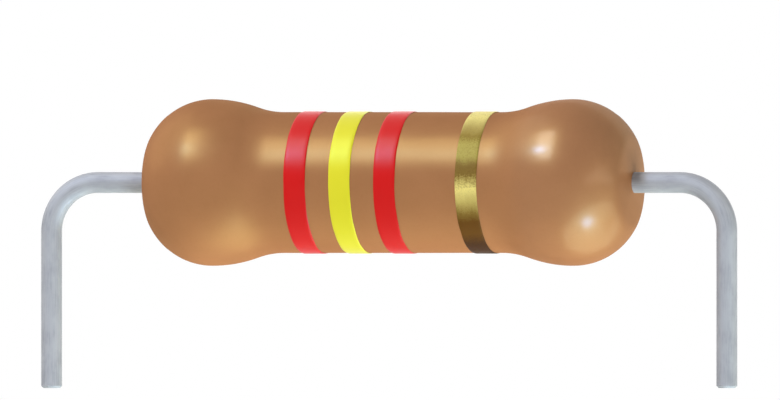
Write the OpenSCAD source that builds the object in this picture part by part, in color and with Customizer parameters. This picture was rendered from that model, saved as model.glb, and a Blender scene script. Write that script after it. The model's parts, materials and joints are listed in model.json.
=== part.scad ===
// Axial film resistor in a dog-bone lacquer coat, with both leads bent down for a board.
// The body lies along X and the legs point down. The origin is midway between the legs,
// on the top of the board, which the underside of the body touches.

/* [Ceramic rod] */
// Diameter of the ceramic rod
rod_diameter = 3.44; // [3.2:0.02:3.8]
// Length of the ceramic rod
rod_length = 12.3; // [11:0.1:14]
// Rounding of the rod's two edges
rod_edge_radius = 0.2; // [0.1:0.05:0.3]

/* [Carbon film] */
// Thickness of the film on the rod
film_thickness = 0.05; // [0.03:0.01:0.08]
// Width of the helical cut that trims the film
kerf_width = 0.25; // [0.15:0.05:0.4]
// Distance from one turn of the cut to the next
kerf_pitch = 0.95; // [0.7:0.05:1.4]
// Depth of the cut into the rod, below the film
kerf_depth = 0.04; // [0.02:0.01:0.1]
// Uncut film between the cut and each cap
kerf_margin = 0.5; // [0.3:0.1:1]

/* [End caps] */
// Wall of the pressed steel caps
cap_wall = 0.25; // [0.2:0.05:0.35]
// Depth of a cap, from its mouth to its outer face
cap_depth = 2.45; // [1.8:0.05:2.6]
// Chamfer that leads the rod into the cap's mouth
cap_chamfer = 0.1; // [0.05:0.05:0.15]

/* [Leads] */
// Diameter of the lead wire
lead_diameter = 0.6; // [0.5:0.05:0.8]
// Distance between the two legs
lead_pitch = 20.32; // [20.32:2.54:30.48]
// Centreline radius of the bend in each lead
bend_radius = 1.4; // [0.9:0.1:1.8]
// Length of the legs below the top of the board
leg_below_board = 3.5; // [2.5:0.1:6]
// Chamfer round the cut end of each leg
tip_chamfer = 0.06; // [0.02:0.02:0.12]
// Diameter of the head by which a lead is welded to its cap
weld_diameter = 1.2; // [1:0.1:1.6]
// Height of the head's rim
weld_rim = 0.08; // [0.04:0.02:0.16]

/* [Lacquer coat] */
// Lacquer over the film, at the middle of the body
coat_over_film = 0.26; // [0.2:0.02:0.4]
// Lacquer over the side of each cap
coat_over_cap = 0.38; // [0.34:0.02:0.5]
// Lacquer from a cap's outer face to the end of the body
coat_over_end = 0.83; // [0.7:0.01:1.1]
// Radius of the swell from the waist up to its highest ring
shoulder_radius = 4; // [3:0.1:5]
// Radius of the hollow between the waist and the shoulder
neck_radius = 2.5; // [1.5:0.1:3.5]
// Radius from the highest ring round to the rim
end_radius = 1.94; // [1.6:0.02:2.1]
// Radius of the rim between the round of the end and its face
rim_radius = 0.8; // [0.4:0.05:1.2]
// Angle from the axis at which the round of the end becomes the rim
rim_angle = 32; // [26:1:38]
// Radius of the low dome that is the face round the lead
face_radius = 9; // [6:0.5:20]

/* [Colour bands] */
// Width of a band
band_width = 0.66; // [0.4:0.02:0.8]
// Thickness of the paint
band_thickness = 0.02; // [0.01:0.01:0.04]
// Distance from one value band to the next
band_pitch = 1.35; // [1:0.05:1.5]
// Distance from the last value band to the tolerance band
tolerance_pitch = 2.46; // [1.8:0.02:2.8]
// How far the set of bands sits from the body's middle, towards the tolerance band
band_shift = 0.23; // [-0.3:0.01:0.3]

/* [Placement] */
// How far the body sits from the middle of the legs, towards the tolerance band
body_offset = 0.12; // [-0.3:0.02:0.3]

/* [Hidden] */
$fn = 96;

// Colours of the value and tolerance bands, in the order in which they are read
BANDS = [
  ["first_digit_band", "#dc2328"],
  ["second_digit_band", "#e6e632"],
  ["multiplier_band", "#dc2328"],
  ["tolerance_band", "#b29a3c"]
];

// How far a cutter runs past what it cuts
cut_margin = 1;

// The rod, its film and the caps, from the axis out and from the middle along
rod_r = rod_diameter / 2;
rod_end = rod_length / 2;
film_r = rod_r + film_thickness;
film_end = rod_end + film_thickness;
film_edge = rod_edge_radius + film_thickness;
cap_r = film_r + cap_wall;
cap_end = film_end + cap_wall;
cap_edge = film_edge + cap_wall;
cap_mouth = cap_end - cap_depth;
lead_r = lead_diameter / 2;
weld_r = weld_diameter / 2;
weld_height = weld_rim + weld_r - lead_r;

// The helical cut: as many whole turns as fit between the margins
kerf_room = 2 * (cap_mouth - kerf_margin) - kerf_width;
kerf_turns = floor(kerf_room / kerf_pitch);
kerf_steps_per_turn = 20;

// The coat's outline: each arc's centre is [radius from the axis, place along it]
arc_step = 6;
waist_r = film_r + coat_over_film;
bulge_r = cap_r + coat_over_cap;
body_end = cap_end + coat_over_end;
round_reach = end_radius - rim_radius;
face_reach = face_radius - rim_radius;
rim_x = bulge_r - end_radius + round_reach * sin(rim_angle);
face_angle = asin(rim_x / face_reach);
face_c = [0, body_end - face_radius];
rim_c = [rim_x, face_c.y + face_reach * cos(face_angle)];
end_c = [bulge_r - end_radius, rim_c.y - round_reach * cos(rim_angle)];
shoulder_c = [bulge_r - shoulder_radius, end_c.y];
neck_c = [waist_r + neck_radius,
  end_c.y - leg_of(shoulder_radius + neck_radius, waist_r + neck_radius - shoulder_c.x)];

// The body's axis lies one bulge radius above the board
axis_height = bulge_r;
leg_x = lead_pitch / 2;

// Places of the bands along the body
band_span = 2 * band_pitch + tolerance_pitch;
first_band = band_shift - band_span / 2;
band_places = [first_band, first_band + band_pitch, first_band + 2 * band_pitch, first_band + band_span];

// The other short side of a right triangle
function leg_of(long_side, short_side) = sqrt(pow(long_side, 2) - pow(short_side, 2));

// Direction from a to b, in degrees
function heading(a, b) = atan2(b.y - a.y, b.x - a.x);

// Points along an arc, after its first
function arc(centre, radius, from, to) = let (n = ceil(abs(to - from) / arc_step))
  [for (i = [1 : n]) let (a = from + (to - from) * i / n) centre + radius * [cos(a), sin(a)]];

// Section of a round bar with rounded edges, from the axis out
module bar_section(radius, end, edge) {
  square([radius - edge, end]);
  square([radius, end - edge]);
  translate([radius - edge, end - edge]) intersection() {
    circle(edge);
    square(2 * edge);
  }
}

// Section of one half of the body, grown by g
module outline_half(g = 0) {
  polygon(concat(
    [[0, 0], [waist_r + g, 0], [waist_r + g, neck_c.y]],
    arc(neck_c, neck_radius - g, 180, heading(neck_c, shoulder_c)),
    arc(shoulder_c, shoulder_radius + g, heading(shoulder_c, neck_c), 0),
    arc(end_c, end_radius + g, 0, 90 - rim_angle),
    arc(rim_c, rim_radius + g, 90 - rim_angle, 90 - face_angle),
    arc(face_c, face_radius + g, 90 - face_angle, 90)
  ));
}

// Cutter that chamfers an inner edge lying at the origin
module chamfer_section(size) {
  polygon([[-cut_margin, -cut_margin], [size + cut_margin, -cut_margin], [-cut_margin, size + cut_margin]]);
}

// Section of one cap: a cup of even wall that fits the filmed rod
module cap_section() {
  difference() {
    bar_section(cap_r, cap_end, cap_edge);
    bar_section(film_r, film_end, film_edge);
    square([cap_r + cut_margin, cap_mouth]);
    translate([film_r, cap_mouth]) chamfer_section(cap_chamfer);
  }
}

// Section of the head that is upset on the end of a lead
module weld_section() {
  difference() {
    square([weld_r, weld_height]);
    translate([weld_r, weld_height]) circle(weld_r - lead_r);
  }
}

// Section of all that the lacquer encloses in one half of the body
module core_section() {
  bar_section(film_r, film_end, film_edge);
  cap_section();
  translate([0, cap_end]) weld_section();
  square([lead_r, body_end + cut_margin]);
}

module both_halves() {
  children();
  mirror([0, 1]) children();
}

// Turns a section about the body's axis
module revolve() rotate([0, 90, 0]) rotate_extrude() children();

// Puts a piece on the body's axis
module on_axis() translate([body_offset, 0, axis_height]) children();

// The path of the trimming cut, from below the film to above it
module trim_kerf() {
  inner = rod_r - kerf_depth;
  outer = film_r + coat_over_film / 2;
  corners = [[inner, -1], [outer, -1], [outer, 1], [inner, 1]];
  steps = kerf_turns * kerf_steps_per_turn;
  start = -kerf_turns * kerf_pitch / 2;
  points = [for (i = [0 : steps]) let (a = 360 * i / kerf_steps_per_turn, x = start + kerf_pitch * a / 360)
    for (c = corners) [x + c[1] * kerf_width / 2, c[0] * cos(a), c[0] * sin(a)]];
  sides = [for (i = [0 : steps - 1]) for (j = [0 : 3]) let (k = (j + 1) % 4)
    [4 * i + k, 4 * i + 4 + k, 4 * i + 4 + j, 4 * i + j]];
  last = 4 * steps;
  polyhedron(points, concat([[3, 2, 1, 0]], sides, [[last, last + 1, last + 2, last + 3]]), convexity = 10);
}

module ceramic_rod() {
  color("#f2efe6") on_axis() difference() {
    revolve() both_halves() bar_section(rod_r, rod_end, rod_edge_radius);
    trim_kerf();
  }
}

module carbon_film() {
  color("#33312f") on_axis() difference() {
    revolve() difference() {
      both_halves() bar_section(film_r, film_end, film_edge);
      both_halves() bar_section(rod_r, rod_end, rod_edge_radius);
    }
    trim_kerf();
  }
}

// side is 1 at the tolerance end and -1 at the other
module end_cap(side) {
  color("#c9c6bd") on_axis() mirror([side < 0 ? 1 : 0, 0, 0]) revolve() cap_section();
}

module left_cap() end_cap(-1);
module right_cap() end_cap(1);

module lead(side) {
  start = cap_end + side * body_offset;
  bend_start = leg_x - bend_radius;
  leg = axis_height - bend_radius + leg_below_board;
  color("#a9acb6") translate([0, 0, axis_height]) mirror([side < 0 ? 1 : 0, 0, 0]) {
    translate([start, 0, 0]) revolve() weld_section();
    translate([start + weld_height, 0, 0]) rotate([0, 90, 0])
      cylinder(h = bend_start - start - weld_height, r = lead_r);
    translate([bend_start, 0, -bend_radius]) rotate([90, 0, 0])
      rotate_extrude(angle = 90) translate([bend_radius, 0]) circle(lead_r);
    translate([leg_x, 0, -bend_radius - leg]) {
      translate([0, 0, tip_chamfer]) cylinder(h = leg - tip_chamfer, r = lead_r);
      cylinder(h = tip_chamfer, r1 = lead_r - tip_chamfer, r2 = lead_r);
    }
  }
}

module left_lead() lead(-1);
module right_lead() lead(1);

module lacquer_coat() {
  color("#b98858") on_axis() revolve() both_halves() difference() {
    outline_half();
    core_section();
  }
}

// A band is a skin of paint on the coat, whatever the coat's outline does under it
module band(i) {
  color(BANDS[i][1]) on_axis() revolve() intersection() {
    difference() {
      both_halves() outline_half(band_thickness);
      both_halves() outline_half();
    }
    translate([0, band_places[i] - band_width / 2]) square([bulge_r + cut_margin, band_width]);
  }
}

ceramic_rod();
carbon_film();
left_cap();
right_cap();
left_lead();
right_lead();
lacquer_coat();
for (i = [0 : len(BANDS) - 1]) band(i);
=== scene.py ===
import json
import math

import bmesh
import bpy
from mathutils import Matrix, Vector


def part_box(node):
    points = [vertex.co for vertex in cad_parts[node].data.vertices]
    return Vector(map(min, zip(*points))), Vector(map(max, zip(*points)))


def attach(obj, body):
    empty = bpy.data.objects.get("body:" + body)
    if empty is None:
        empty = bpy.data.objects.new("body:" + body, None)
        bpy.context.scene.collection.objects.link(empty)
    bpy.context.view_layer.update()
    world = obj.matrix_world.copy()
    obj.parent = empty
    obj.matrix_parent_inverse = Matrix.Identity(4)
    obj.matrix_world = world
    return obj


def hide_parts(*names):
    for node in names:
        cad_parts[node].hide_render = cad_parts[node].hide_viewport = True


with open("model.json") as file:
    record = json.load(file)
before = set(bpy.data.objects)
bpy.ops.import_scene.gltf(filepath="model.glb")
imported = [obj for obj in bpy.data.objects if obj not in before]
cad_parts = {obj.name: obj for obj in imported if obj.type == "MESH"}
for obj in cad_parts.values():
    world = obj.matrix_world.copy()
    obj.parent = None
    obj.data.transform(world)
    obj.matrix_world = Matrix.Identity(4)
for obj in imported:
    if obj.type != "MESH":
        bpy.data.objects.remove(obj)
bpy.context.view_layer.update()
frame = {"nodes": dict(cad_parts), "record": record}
mm = 0.001

# Sizes that the frame gives: the body's axis runs along X, and the legs point down
coatLow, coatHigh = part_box("lacquer_coat")
capLow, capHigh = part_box("right_cap")
filmLow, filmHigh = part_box("carbon_film")
leadLow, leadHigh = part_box("right_lead")
bandLow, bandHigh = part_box("first_digit_band")
legs = next(m for m in frame["record"]["mounts"] if m["name"] == "lead_pair")["dims"]

paintThickness = 0.02 * mm  # of the frame's bands
bodyX = (coatLow.x + coatHigh.x) / 2
bodyEnd = (coatHigh.x - coatLow.x) / 2
axisZ = (coatLow.z + coatHigh.z) / 2
bulgeRadius = (coatHigh.z - coatLow.z) / 2
waistRadius = (bandHigh.z - bandLow.z) / 2 - paintThickness
capRadius = (capHigh.z - capLow.z) / 2
capMouth = capLow.x - bodyX
capEnd = capHigh.x - bodyX
filmRadius = (filmHigh.z - filmLow.z) / 2
weldRadius = (leadHigh.y - leadLow.y) / 2
legX = legs["spacing_x_mm"] * mm / 2
leadRadius = legs["stud_r_mm"] * mm
tipZ = leadLow.z

seam = 0.001 * mm  # points closer together than this are merged
smoothAngle = 35  # edges that turn by more than this stay sharp
noiseRoughness = 0.55  # how strongly the finer grains of a noise show
print("frame loaded: body", round(2 * bodyEnd / mm, 2), "by", round(2 * bulgeRadius / mm, 2), "mm")


# The output of a node: sums and products written with it become Math nodes
class Value:
    def __init__(self, shading, socket):
        self.shading = shading
        self.socket = socket

    # Another output of the same node
    def beside(self, output):
        return Value(self.shading, self.socket.node.outputs[output])

    def __add__(self, other):
        return self.shading.maths("ADD", self, other)

    def __radd__(self, other):
        return self.shading.maths("ADD", other, self)

    def __sub__(self, other):
        return self.shading.maths("SUBTRACT", self, other)

    def __rsub__(self, other):
        return self.shading.maths("SUBTRACT", other, self)

    def __mul__(self, other):
        return self.shading.maths("MULTIPLY", self, other)

    def __rmul__(self, other):
        return self.shading.maths("MULTIPLY", other, self)

    def __truediv__(self, other):
        return self.shading.maths("DIVIDE", self, other)

    def __rtruediv__(self, other):
        return self.shading.maths("DIVIDE", other, self)


# The nodes of a material or of the world
class Shading:
    def __init__(self, tree):
        self.tree = tree

    # Links a value into a socket, or writes it there
    def feed(self, socket, value):
        if isinstance(value, Value):
            self.tree.links.new(value.socket, socket)
        else:
            socket.default_value = value

    # Adds a node: its settings first, then the values or links of its sockets
    def node(self, kind, settings=None, sockets=None, output=0):
        made = self.tree.nodes.new(kind)
        for name, setting in (settings or {}).items():
            if name == "stops":
                self.setStops(made.color_ramp, setting)
            else:
                setattr(made, name, setting)
        for key, value in (sockets or {}).items():
            self.feed(made.inputs[key], value)
        return Value(self, made.outputs[output])

    def setStops(self, ramp, stops):
        while len(ramp.elements) < len(stops):
            ramp.elements.new(1.0)
        for element, (place, shade) in zip(ramp.elements, stops):
            element.position = place
            element.color = shade

    def maths(self, operation, first, second):
        return self.node("ShaderNodeMath", {"operation": operation}, {0: first, 1: second})

    # 1 for rays from the camera, a reflection or glass, and 0 for the rest
    def whereSeen(self):
        camera = self.node("ShaderNodeLightPath", output="Is Camera Ray")
        seen = self.maths("MAXIMUM", camera, camera.beside("Is Glossy Ray"))
        return self.maths("MAXIMUM", seen, camera.beside("Is Transmission Ray"))


# A material round one Principled shader, with its patterns laid out in Object coordinates
class Finish(Shading):
    def __init__(self, name):
        self.material = bpy.data.materials.new(name)
        self.material.use_nodes = True
        super().__init__(self.material.node_tree)
        self.shader = self.tree.nodes["Principled BSDF"]
        self.place = self.node("ShaderNodeTexCoord", output="Object")

    # Sets or links the shader's own sockets
    def surface(self, sockets):
        for name, value in sockets.items():
            self.feed(self.shader.inputs[name], value)

    # Mixes in a share of bare metal, whose reflections have a colour of their own
    def veil(self, share, colour, roughness, normal):
        metal = self.node("ShaderNodeBsdfPrincipled", sockets={
            "Base Color": colour, "Metallic": 1.0, "Roughness": roughness, "Normal": normal})
        plain = Value(self, self.shader.outputs[0])
        both = self.node("ShaderNodeMixShader", sockets={0: share, 1: plain, 2: metal})
        self.feed(self.tree.nodes["Material Output"].inputs["Surface"], both)

    # How far along X, Y or Z a point lies
    def along(self, axis):
        return self.node("ShaderNodeSeparateXYZ", sockets={0: self.place}, output=axis)

    # Noise whose grains are about size across; stretch lengthens them along X, Y or Z
    def noise(self, size, detail=2.0, place=None, stretch=(1, 1, 1)):
        scaled = self.node("ShaderNodeMapping", {"vector_type": "POINT"},
                           {"Vector": place or self.place, "Scale": [1 / s for s in stretch]})
        return self.node("ShaderNodeTexNoise", sockets={
            "Vector": scaled, "Scale": 1 / size, "Detail": detail, "Roughness": noiseRoughness})

    # Spreads value from low..high over 0..1, and holds it there
    def spread(self, value, low, high):
        return self.node("ShaderNodeMapRange", {"interpolation_type": "SMOOTHSTEP"},
                         {"Value": value, "From Min": low, "From Max": high})

    def mix(self, factor, first, second):
        return self.node("ShaderNodeMix", {"data_type": "RGBA"}, {0: factor, 6: first, 7: second}, output=2)

    # Bumps of about the given depth in metres
    def bump(self, height, depth):
        return self.node("ShaderNodeBump", sockets={"Strength": 1.0, "Distance": depth, "Height": height})


# A display colour, 0 to 255 each, as the light that it stands for
def tint(red, green, blue):
    return [((c / 255 + 0.055) / 1.055) ** 2.4 for c in (red, green, blue)] + [1]


# Selects the given vertices of the mesh in edit mode, by their place
def selectWhere(piece, test):
    bpy.ops.mesh.select_all(action="DESELECT")
    shape = bmesh.from_edit_mesh(piece.data)
    for vertex in shape.verts:
        vertex.select = test(vertex.co)
    shape.select_flush(True)
    bmesh.update_edit_mesh(piece.data)


# Draws the selected ring through the next rings: (radius from the X axis, place along it)
def drawRings(rings, centreZ=0.0):
    radius, place = rings[0]
    for nextRadius, nextPlace in rings[1:]:
        bpy.ops.mesh.extrude_region_move(TRANSFORM_OT_translate={"value": (nextPlace - place, 0, 0)})
        growth = nextRadius / radius
        bpy.ops.transform.resize(value=(1, growth, growth), center_override=(nextPlace, 0, centreZ))
        radius, place = nextRadius, nextPlace


# Starts a piece as a ring of edges round the X axis, and stays in edit mode
def startRing(name, segments, radius, place):
    bpy.ops.object.select_all(action="DESELECT")
    bpy.ops.mesh.primitive_circle_add(vertices=segments, radius=radius, location=(place, 0, 0),
                                      rotation=(0, math.radians(90), 0))
    piece = bpy.context.object
    piece.name = piece.data.name = name
    bpy.ops.object.transform_apply(location=True, rotation=True, scale=True)
    bpy.ops.object.mode_set(mode="EDIT")
    return piece


# Moves the whole mesh in edit mode to its place on the body's axis
def seatOnAxis(x):
    bpy.ops.mesh.select_all(action="SELECT")
    bpy.ops.transform.translate(value=(x, 0, axisZ))


# Closes seams, points the faces outwards and leaves edit mode
def closeShape():
    bpy.ops.mesh.select_all(action="SELECT")
    bpy.ops.mesh.remove_doubles(threshold=seam)
    bpy.ops.mesh.normals_make_consistent(inside=False)
    bpy.ops.object.mode_set(mode="OBJECT")


def applyModifier(piece, kind, settings):
    modifier = piece.modifiers.new(kind.title(), kind)
    for name, setting in settings.items():
        setattr(modifier, name, setting)
    bpy.ops.object.modifier_apply(modifier=modifier.name)


# Pushes the surface in and out by slow clouds. The mesh may be held outside a vertex group
def clouds(piece, name, size, depth, middle, direction="NORMAL", group=""):
    texture = bpy.data.textures.get(name) or bpy.data.textures.new(name, "CLOUDS")
    texture.noise_scale = size
    applyModifier(piece, "DISPLACE", {"texture": texture, "texture_coords": "GLOBAL", "vertex_group": group,
                                      "mid_level": middle, "strength": depth, "direction": direction})


# Dresses a new piece and puts it in the place of its plain CAD node
def finishPiece(piece, finish, node):
    bpy.ops.object.shade_smooth_by_angle(angle=math.radians(smoothAngle))
    piece.vertex_groups.clear()
    piece.data.materials.clear()
    piece.data.materials.append(finish.material)
    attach(piece, "root")
    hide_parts(node)
    print("made", piece.name, "with", len(piece.data.polygons), "faces")


# Dresses a CAD node that is carried over as it is
def finishNode(node, finish):
    materials = frame["nodes"][node].data.materials
    materials.clear()
    materials.append(finish.material)
    print("dressed", node)


# Points along an arc after its first, as (radius from the axis, place along it)
def arc(centre, radius, start, end, steps):
    angles = [math.radians(start + (end - start) * i / steps) for i in range(1, steps + 1)]
    return [(centre[0] + radius * math.cos(a), centre[1] + radius * math.sin(a)) for a in angles]


def heading(start, end):
    return math.degrees(math.atan2(end[1] - start[1], end[0] - start[0]))


# The other short side of a right triangle
def legOf(longSide, shortSide):
    return math.sqrt(longSide ** 2 - shortSide ** 2)


lacquer = {
    # radii of the outline's arcs, from the waist to the lead
    "neck": 2.5 * mm,
    "shoulder": 4 * mm,
    "end": 1.94 * mm,
    "rim": 0.8 * mm,
    "rimAngle": 32,
    "face": 9 * mm,
    "segments": 144,
    "steps": {"waist": 14, "neck": 8, "shoulder": 10, "end": 16, "rim": 8, "face": 6},
    "waveSize": 1.6 * mm,
    "waveDepth": 0.012 * mm,
    "skinDepth": 0.05 * mm,  # the waves move all that lies further out than this depth under the waist
    "colour": (0.330, 0.138, 0.064, 1),
    "paleColour": (0.360, 0.154, 0.072, 1),
    "toneSize": 2.2 * mm,
    "toneRange": (0.35, 0.65),  # the part of a noise over which one colour turns into the other
    "speckColour": tint(138, 90, 58),
    "speckSize": 0.09 * mm,
    "speckRange": (0.45, 0.75),
    "speckShare": 0.1,
    "rippleSize": 0.25 * mm,
    "rippleDepth": 0.0015 * mm,
    "sheen": 0.06,
    "sheenColour": (1, 0.71, 0.26, 1),
    "roughness": 0.36,
    "roughnessSway": 0.08,
    # the clear gloss that pooled at one end
    "poolStart": 4 * mm,
    "poolEnd": 4.8 * mm,
    "pool": 0.07,
    "poolIor": 2.5,
    "poolRoughness": 0.2,
}

# The head by which a lead is welded to its cap
weld = {
    "rim": 0.08 * mm,
    "steps": 6,
}
weldHeight = weld["rim"] + weldRadius - leadRadius

cap = {
    "edge": 0.5 * mm,
    "edgeSteps": 6,
    "mouthChamfer": 0.1 * mm,
    "colour": tint(178, 175, 166),
    "paleColour": tint(212, 209, 200),
    "scoreSize": 0.06 * mm,
    "scoreLength": 20,
    "scoreDepth": 0.003 * mm,
    "roughness": 0.28,
    "roughnessSway": 0.2,
}


# The outside of one half of the body, from its middle to the lead
def outline():
    s = lacquer
    steps = s["steps"]
    roundReach = s["end"] - s["rim"]
    faceReach = s["face"] - s["rim"]
    rimAngle = math.radians(s["rimAngle"])
    rimX = bulgeRadius - s["end"] + roundReach * math.sin(rimAngle)
    faceAngle = math.asin(rimX / faceReach)
    face = (0, bodyEnd - s["face"])
    rim = (rimX, face[1] + faceReach * math.cos(faceAngle))
    end = (bulgeRadius - s["end"], rim[1] - roundReach * math.cos(rimAngle))
    shoulder = (bulgeRadius - s["shoulder"], end[1])
    neckX = waistRadius + s["neck"]
    neck = (neckX, end[1] - legOf(s["shoulder"] + s["neck"], neckX - shoulder[0]))
    waist = [(waistRadius, neck[1] * i / steps["waist"]) for i in range(steps["waist"] + 1)]
    faceTurn = 90 - math.degrees(faceAngle)
    leadTurn = 90 - math.degrees(math.asin(leadRadius / s["face"]))
    return (waist
            + arc(neck, s["neck"], 180, heading(neck, shoulder), steps["neck"])
            + arc(shoulder, s["shoulder"], heading(shoulder, neck), 0, steps["shoulder"])
            + arc(end, s["end"], 0, 90 - s["rimAngle"], steps["end"])
            + arc(rim, s["rim"], 90 - s["rimAngle"], faceTurn, steps["rim"])
            + arc(face, s["face"], faceTurn, leadTurn, steps["face"]))


# The hollow curve of the weld head, from the wire out to the cap's face
def weldRings(place):
    fillet = arc((weldRadius, place + weldHeight), weldRadius - leadRadius, 180, 270, weld["steps"])
    return [(leadRadius, place + weldHeight)] + fillet + [(weldRadius, place)]


# What the coat encloses in one half of the body, from the lead back to the middle
def coreOutline():
    edge, chamfer = cap["edge"], cap["mouthChamfer"]
    edgeArc = arc((capRadius - edge, capEnd - edge), edge, 90, 0, cap["edgeSteps"])
    mouth = [(capRadius, capMouth), (filmRadius + chamfer, capMouth), (filmRadius, capMouth + chamfer)]
    return weldRings(capEnd) + [(capRadius - edge, capEnd)] + edgeArc + mouth + [(filmRadius, 0)]


# The coat is a thick shell with a wavy skin, closed round the film, the caps and the leads
def makeCoat():
    outside = outline()
    coat = startRing("coat", lacquer["segments"], *outside[0])
    drawRings(outside + coreOutline())
    bpy.ops.object.mode_set(mode="OBJECT")
    applyModifier(coat, "MIRROR", {"use_axis": (True, False, False), "merge_threshold": seam})
    bpy.ops.object.mode_set(mode="EDIT")
    seatOnAxis(bodyX)
    closeShape()
    bpy.ops.object.mode_set(mode="EDIT")
    skinRadius = waistRadius - lacquer["skinDepth"]
    selectWhere(coat, lambda co: math.hypot(co.y, co.z - axisZ) > skinRadius)
    coat.vertex_groups.new(name="skin")
    bpy.context.scene.tool_settings.vertex_group_weight = 1
    bpy.ops.object.vertex_group_assign()
    bpy.ops.object.mode_set(mode="OBJECT")
    clouds(coat, "lacquerWave", lacquer["waveSize"], lacquer["waveDepth"], middle=1.0, group="skin")
    return coat


bandSizes = {
    "segments": 144,
    "rings": 6,
    "edge": 0.05 * mm,
    "shoulder": 0.3,  # the edge is rounded by one step, this share of the paint down and of the edge in
    "edgeWaveSize": 0.9 * mm,
    "edgeWave": 0.03 * mm,
}


# A ring of paint with rounded shoulders on the waist of the coat, its edges a little unsteady
def makeBand(name, node):
    low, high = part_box(node)
    s = bandSizes
    outer = waistRadius + paintThickness
    half = (high.x - low.x) / 2
    flat = half - s["edge"]
    shoulder = (outer - s["shoulder"] * paintThickness, half - s["shoulder"] * s["edge"])
    across = [(outer, -flat + 2 * flat * i / s["rings"]) for i in range(s["rings"] + 1)]
    rings = ([(waistRadius, -half), (shoulder[0], -shoulder[1])] + across
             + [shoulder, (waistRadius, half), (waistRadius, -half)])
    band = startRing(name, s["segments"], *rings[0])
    drawRings(rings)
    seatOnAxis((low.x + high.x) / 2)
    closeShape()
    clouds(band, "lacquerWave", lacquer["waveSize"], lacquer["waveDepth"], middle=1.0)
    clouds(band, "bandEdge", s["edgeWaveSize"], s["edgeWave"], middle=0.5, direction="X")
    return band


wire = {
    "segments": 40,
    "bend": 1.4 * mm,
    "bendSteps": 28,
    "chamfer": 0.06 * mm,
    "stepLength": 0.35 * mm,
    "colour": tint(168, 169, 172),
    "darkColour": tint(150, 151, 155),
    "lineSize": 0.03 * mm,
    "lineLength": 30,
    "lineDepth": 0.002 * mm,
    "bloomSize": 0.35 * mm,
    "bloomLength": 2,
    "bloomShare": 0.6,  # the lines make up the rest
    "dullRange": (0.4, 0.7),
    "metallic": 0.6,
    "roughness": 0.72,
    "roughnessSway": 0.12,
}


# Extrudes the wire's end along a direction, in even steps
def runWire(direction, length):
    steps = round(length / wire["stepLength"])
    for _ in range(steps):
        move = [d * length / steps for d in direction]
        bpy.ops.mesh.extrude_region_move(TRANSFORM_OT_translate={"value": move})


# One lead: up the leg from the cut tip, round the bend and into the body to its weld head
def makeLead(name, side):
    s = wire
    tipRadius = leadRadius - s["chamfer"]
    bpy.ops.object.select_all(action="DESELECT")
    bpy.ops.mesh.primitive_circle_add(vertices=s["segments"], radius=tipRadius, fill_type="NGON",
                                      location=(legX, 0, tipZ))
    lead = bpy.context.object
    lead.name = lead.data.name = name
    bpy.ops.object.transform_apply(location=True)
    bpy.ops.object.mode_set(mode="EDIT")
    bpy.ops.mesh.extrude_region_move(TRANSFORM_OT_translate={"value": (0, 0, s["chamfer"])})
    growth = leadRadius / tipRadius
    bpy.ops.transform.resize(value=(growth, growth, 1), center_override=(legX, 0, tipZ))
    runWire((0, 0, 1), axisZ - s["bend"] - tipZ - s["chamfer"])
    bpy.ops.mesh.spin(steps=s["bendSteps"], angle=math.radians(90), axis=(0, 1, 0),
                      center=(legX - s["bend"], 0, axisZ - s["bend"]))
    weldPlace = capEnd + side * bodyX
    runWire((-1, 0, 0), legX - s["bend"] - weldPlace - weldHeight)
    drawRings(weldRings(weldPlace), centreZ=axisZ)
    closeShape()
    followWire(lead)
    if side < 0:
        bpy.ops.transform.resize(value=(-1, 1, 1), center_override=(0, 0, 0))
        bpy.ops.object.transform_apply(scale=True, location=True)
        bpy.ops.object.mode_set(mode="EDIT")
        closeShape()
    return lead


# Stores where each point would lie if the wire were straight: two ways across it, then along it
def followWire(lead):
    bendX = legX - wire["bend"]
    bendZ = axisZ - wire["bend"]
    quarter = wire["bend"] * math.pi / 2
    straight = lead.data.attributes.new("straight", "FLOAT_VECTOR", "POINT")
    for vertex, stored in zip(lead.data.vertices, straight.data):
        x, y, z = vertex.co
        if z < bendZ:
            stored.vector = (x - legX, y, z - bendZ)
        elif x > bendX:
            turn = math.atan2(z - bendZ, x - bendX)
            stored.vector = (math.hypot(x - bendX, z - bendZ) - wire["bend"], y, wire["bend"] * turn)
        else:
            stored.vector = (z - axisZ, y, quarter + bendX - x)


# Satin lacquer: pigment a little uneven in tone, with a warm sheen. Clear gloss lies over one end
def lacquerFinish():
    s = lacquer
    f = Finish("lacquer")
    tone = f.noise(s["toneSize"], detail=3)
    specks = f.spread(f.noise(s["speckSize"]), *s["speckRange"]) * s["speckShare"]
    shade = f.mix(f.spread(tone, *s["toneRange"]), s["colour"], s["paleColour"])
    ripples = f.bump(f.noise(s["rippleSize"]), s["rippleDepth"])
    roughness = s["roughness"] + s["roughnessSway"] * (tone - 0.5)
    f.surface({"Base Color": f.mix(specks, shade, s["speckColour"]),
               "Roughness": roughness,
               "Specular IOR Level": 0.0,
               "Coat Weight": f.spread(f.along("X"), s["poolStart"], s["poolEnd"]) * s["pool"],
               "Coat IOR": s["poolIor"],
               "Coat Roughness": s["poolRoughness"],
               "Normal": ripples})
    f.veil(s["sheen"], s["sheenColour"], roughness, ripples)
    return f


paint = {
    "toneSize": 0.5 * mm,
    "grainSize": 0.12 * mm,
    "grainDepth": 0.001 * mm,
    "roughness": 0.32,
    "roughnessSway": 0.08,
    "paintedShadeRange": (-0.9, 0.3),  # heights on the ring, where -1 is its underside and 1 its top
    "paintedShadeSway": 0.06,
    "red": {"full": tint(213, 14, 12), "paintedShade": tint(197, 12, 12), "gloss": 0.2, "glossTint": (1, 1, 1, 1)},
    "yellow": {"full": tint(231, 224, 50), "paintedShade": tint(208, 201, 44), "gloss": 0.5,
               "glossTint": (0.75, 1, 0.2, 1)},
}
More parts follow.
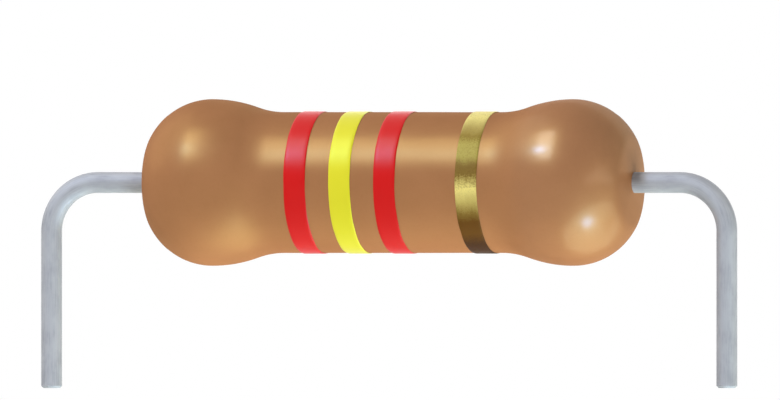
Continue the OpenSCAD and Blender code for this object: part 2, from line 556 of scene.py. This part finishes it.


# Paint whose colour darkens towards the underside of the ring, as painted shade
def paintFinish(name):
    s = paint[name]
    f = Finish(name + "_paint")
    tone = f.noise(paint["toneSize"], detail=3)
    height = (f.along("Z") - axisZ) / waistRadius + paint["paintedShadeSway"] * (tone - 0.5)
    # painted shade: the colour turns to the darker one towards the underside
    f.surface({"Base Color": f.mix(f.spread(height, *paint["paintedShadeRange"]), s["paintedShade"], s["full"]),
               "Roughness": paint["roughness"] + paint["roughnessSway"] * tone,
               "Specular IOR Level": s["gloss"],
               "Specular Tint": s["glossTint"],
               "Normal": f.bump(f.noise(paint["grainSize"]), paint["grainDepth"])})
    return f


gold = {
    "paintedShadow": tint(62, 34, 6),
    "umber": tint(96, 62, 12),
    "bronze": tint(128, 102, 44),
    "olive": tint(141, 119, 47),
    "brass": tint(167, 152, 72),
    "gold": tint(182, 162, 90),
    "pale": tint(238, 222, 134),
    # turns of the ring from its underside, and the colour there, which paints in highlights, reflections and
    # shade: 0.25 is the front and 0.5 the top
    "paintedLightTurns": [
        (0.0, "paintedShadow"), (0.085, "paintedShadow"), (0.118, "umber"), (0.155, "umber"), (0.178, "bronze"),
        (0.2, "gold"), (0.232, "pale"), (0.254, "gold"), (0.27, "bronze"), (0.291, "bronze"),
        (0.308, "brass"), (0.34, "brass"), (0.362, "olive"), (0.39, "gold"), (0.43, "pale"),
        (0.5, "pale"), (0.56, "bronze"), (0.62, "gold"), (0.68, "umber"), (0.74, "gold"),
        (0.79, "pale"), (0.85, "bronze"), (0.9, "umber"), (0.96, "gold"), (1.0, "umber"),
    ],
    "driftSize": 0.6 * mm,
    "drift": 0.02,  # turns by which the streaks wander
    "flakeSize": 0.045 * mm,
    "flakeDepth": 0.003 * mm,
    "scatter": 0.03,  # turns by which single flakes lie off their streak
    "darkFlakes": (0.45, 0.75),
    "darkShare": 0.3,
    "sheen": 0.1,
    "gloss": 0.1,
    "roughness": 0.4,
    "roughnessSway": 0.2,
}


# Gold paint with metal flakes, and painted highlights, reflections and shade: pale and dark by turns round
# the ring
def goldFinish():
    f = Finish("gold_paint")
    y = f.along("Y")
    turn = 0.5 + f.maths("ARCTAN2", y, y.beside("Z") - axisZ) / (2 * math.pi)
    flake = f.noise(gold["flakeSize"], detail=3)
    drift = f.noise(gold["driftSize"], stretch=(0.5, 1, 1))
    place = turn + gold["drift"] * (drift - 0.5) + gold["scatter"] * (flake - 0.5)
    dark = f.spread(flake, *gold["darkFlakes"]) * gold["darkShare"]
    stops = [(at, gold[shade]) for at, shade in gold["paintedLightTurns"]]
    # painted light and shade: the ramp sets pale and dark colours by the turn round the ring
    paintedLight = f.node("ShaderNodeValToRGB", {"stops": stops}, {0: place})
    f.surface({"Base Color": f.mix(dark, paintedLight, gold["umber"]),
               "Roughness": gold["roughness"] + gold["roughnessSway"] * flake,
               "Metallic": gold["sheen"],
               "Specular IOR Level": gold["gloss"],
               "Normal": f.bump(flake, gold["flakeDepth"])})
    return f


# Tinned wire: fine lines drawn along it, and a dull bloom in patches
def wireFinish():
    f = Finish("tinned_wire")
    straight = f.node("ShaderNodeAttribute", {"attribute_name": "straight"}, output="Vector")
    lines = f.noise(wire["lineSize"], place=straight, stretch=(1, 1, wire["lineLength"]))
    bloom = f.noise(wire["bloomSize"], detail=4, place=straight, stretch=(1, 1, wire["bloomLength"]))
    share = wire["bloomShare"]
    dull = f.spread(share * bloom + (1 - share) * lines, *wire["dullRange"])
    f.surface({"Base Color": f.mix(dull, wire["colour"], wire["darkColour"]),
               "Metallic": wire["metallic"],
               "Roughness": wire["roughness"] + wire["roughnessSway"] * (bloom - 0.5),
               "Normal": f.bump(lines, wire["lineDepth"])})
    return f


rod = {
    "colour": tint(236, 232, 221),
    "paleColour": tint(246, 243, 235),
    "grainSize": 0.08 * mm,
    "grainDepth": 0.004 * mm,
    "grainRange": (0.3, 0.7),
    "roughness": 0.65,
    "roughnessSway": 0.1,
}


# White alumina, matt and faintly grained
def ceramicFinish():
    f = Finish("ceramic")
    grain = f.noise(rod["grainSize"], detail=4)
    f.surface({"Base Color": f.mix(f.spread(grain, *rod["grainRange"]), rod["colour"], rod["paleColour"]),
               "Roughness": rod["roughness"] + rod["roughnessSway"] * grain,
               "Normal": f.bump(grain, rod["grainDepth"])})
    return f


film = {
    "colour": tint(38, 36, 34),
    "bloomColour": tint(62, 60, 58),
    "bloomSize": 0.6 * mm,
    "bloomRange": (0.35, 0.7),
    "grainSize": 0.05 * mm,
    "grainDepth": 0.001 * mm,
    "metallic": 0.3,
    "roughness": 0.4,
    "roughnessSway": 0.2,
}


# Carbon film, near black with a soft grey bloom
def carbonFinish():
    f = Finish("carbon_film")
    bloom = f.noise(film["bloomSize"], detail=4)
    f.surface({"Base Color": f.mix(f.spread(bloom, *film["bloomRange"]), film["colour"], film["bloomColour"]),
               "Metallic": film["metallic"],
               "Roughness": film["roughness"] + film["roughnessSway"] * bloom,
               "Normal": f.bump(f.noise(film["grainSize"]), film["grainDepth"])})
    return f


# Plated steel, scored along the cap where the press drew it
def capFinish():
    f = Finish("cap_steel")
    score = f.noise(cap["scoreSize"], detail=3, stretch=(cap["scoreLength"], 1, 1))
    f.surface({"Base Color": f.mix(score, cap["colour"], cap["paleColour"]),
               "Metallic": 1.0,
               "Roughness": cap["roughness"] + cap["roughnessSway"] * score,
               "Normal": f.bump(score, cap["scoreDepth"])})
    return f


studio = {
    "floor": 1.2,
    "floorGap": 0.001 * mm,
    "floorGlow": 0.25,
    "floorColour": tint(226, 226, 225),
    "floorPaleColour": tint(234, 234, 233),
    "floorMottle": 0.4 * mm,
    "floorRoughness": 0.8,
    "azimuth": 17.5,
    "viewWidth": 22.386 * mm,
    "viewShift": 0.0215 * mm,
    "viewHeight": 1.895 * mm,
    "viewDistance": 0.1,
    "viewClip": 1 * mm,
    "ambient": 0.22,
    "lampDistance": 0.3,
}

# Lamps by where they stand seen from the body, how wide they are, and how bright where 1 is white.
# A through lamp shines up through the floor, and a gloss lamp shows in reflections alone
lamps = {
    "key": {"towards": (-0.36, -0.54, 0.76), "size": (0.065, 0.22), "level": 13},
    "sky": {"towards": (-0.77, 0.04, 0.64), "size": (0.34, 0.34), "level": 1.1},
    "glow": {"towards": (0.53, 0.04, -0.85), "size": (0.48, 0.48), "level": 3.05, "through": True,
             "tint": (0.88, 1, 0.88)},
    "upperSpark": {"towards": (-0.42, -0.60, 0.68), "size": (0.036, 0.036), "level": 106, "gloss": True,
                   "tint": (0.18, 0.45, 1)},
    "lowerSpark": {"towards": (0.56, -0.28, -0.78), "size": (0.075, 0.075), "level": 40, "gloss": True,
                   "through": True, "tint": (0.2, 0.46, 1)},
    "edge": {"towards": (0.91, -0.34, -0.25), "size": (0.36, 0.36), "level": 1.7, "gloss": True},
    "back": {"towards": (0.1, 0.95, 0.3), "size": (0.3, 0.3), "level": 1},
}


# A lamp that faces the body. The long side of a long one stands across the body
def makeLamp(name, settings):
    towards = Vector(settings["towards"]).normalized()
    wide, high = settings["size"]
    area = wide * high * (math.pi / 4 if wide == high else 1)
    place = Vector((0, 0, axisZ)) + towards * studio["lampDistance"]
    bpy.ops.object.light_add(type="AREA", location=place)
    lamp = bpy.context.object
    lamp.name = name
    upright = towards.cross(Vector((1, 0, 0))).normalized()
    lamp.rotation_euler = Matrix((upright.cross(towards), upright, towards)).transposed().to_euler()
    lamp.data.shape = "DISK" if wide == high else "RECTANGLE"
    lamp.data.size = wide
    lamp.data.size_y = high
    lamp.data.energy = settings["level"] * math.pi * area
    lamp.data.color = settings.get("tint", (1, 1, 1))
    # without this, the floor would stop some of a through lamp's light
    lamp.data.cycles.use_multiple_importance_sampling = not settings.get("through", False)
    lamp.visible_camera = False
    lamp.visible_diffuse = not settings.get("gloss", False)


# White to the camera and to reflections, and the ambient level for all other light
def makeWorld():
    world = bpy.data.worlds.new("studio")
    bpy.context.scene.world = world
    world.use_nodes = True
    light = Shading(world.node_tree)
    background = world.node_tree.nodes["Background"]
    light.feed(background.inputs["Color"], (1, 1, 1, 1))
    light.feed(background.inputs["Strength"], light.node("ShaderNodeMapRange", sockets={
        "Value": light.whereSeen(), "To Min": studio["ambient"], "To Max": 1.0}))


# A pale matt floor at the tips of the legs. Its own glow shows to the camera and in reflections alone
def makeFloor():
    bpy.ops.object.select_all(action="DESELECT")
    bpy.ops.mesh.primitive_plane_add(size=studio["floor"], location=(0, 0, tipZ - studio["floorGap"]))
    floor = bpy.context.object
    floor.name = "floor"
    floor.visible_shadow = False
    f = Finish("pale_floor")
    mottle = f.noise(studio["floorMottle"], detail=3)
    f.surface({"Base Color": f.mix(mottle, studio["floorColour"], studio["floorPaleColour"]),
               "Roughness": studio["floorRoughness"],
               "Specular IOR Level": 0.0,
               "Emission Color": f.mix(f.whereSeen(), (0, 0, 0, 1), [studio["floorGlow"]] * 3 + [1]),
               "Emission Strength": 1.0})
    floor.data.materials.append(f.material)


def makeCamera():
    azimuth = math.radians(studio["azimuth"])
    back = Vector((math.sin(azimuth), -math.cos(azimuth), 0))
    right = Vector((math.cos(azimuth), math.sin(azimuth), 0))
    place = back * studio["viewDistance"] + right * studio["viewShift"] + Vector((0, 0, studio["viewHeight"]))
    bpy.ops.object.camera_add(location=place)
    camera = bpy.context.object
    camera.rotation_euler = back.to_track_quat("Z", "Y").to_euler()
    camera.data.type = "ORTHO"
    camera.data.ortho_scale = studio["viewWidth"]
    camera.data.clip_start = studio["viewClip"]
    bpy.context.scene.camera = camera


finishPiece(makeCoat(), lacquerFinish(), "lacquer_coat")

redPaint = paintFinish("red")
for name, finish, slot, node in (("redRing1", redPaint, "red_paint", "first_digit_band"),
                                 ("yellowRing", paintFinish("yellow"), "yellow_paint", "second_digit_band"),
                                 ("redRing2", redPaint, "red_paint", "multiplier_band"),
                                 ("goldRing", goldFinish(), "gold_paint", "tolerance_band")):
    finishPiece(makeBand(name, node), finish, node)

tinnedWire = wireFinish()
for name, side, node in (("leftWire", -1, "left_lead"), ("rightWire", 1, "right_lead")):
    finishPiece(makeLead(name, side), tinnedWire, node)

finishNode("ceramic_rod", ceramicFinish())
finishNode("carbon_film", carbonFinish())
capSteel = capFinish()
for node in ("left_cap", "right_cap"):
    finishNode(node, capSteel)

makeFloor()
makeWorld()
for name, settings in lamps.items():
    makeLamp(name, settings)
makeCamera()
bpy.context.scene.view_settings.view_transform = "Standard"
print("studio ready:", len(lamps), "lamps")
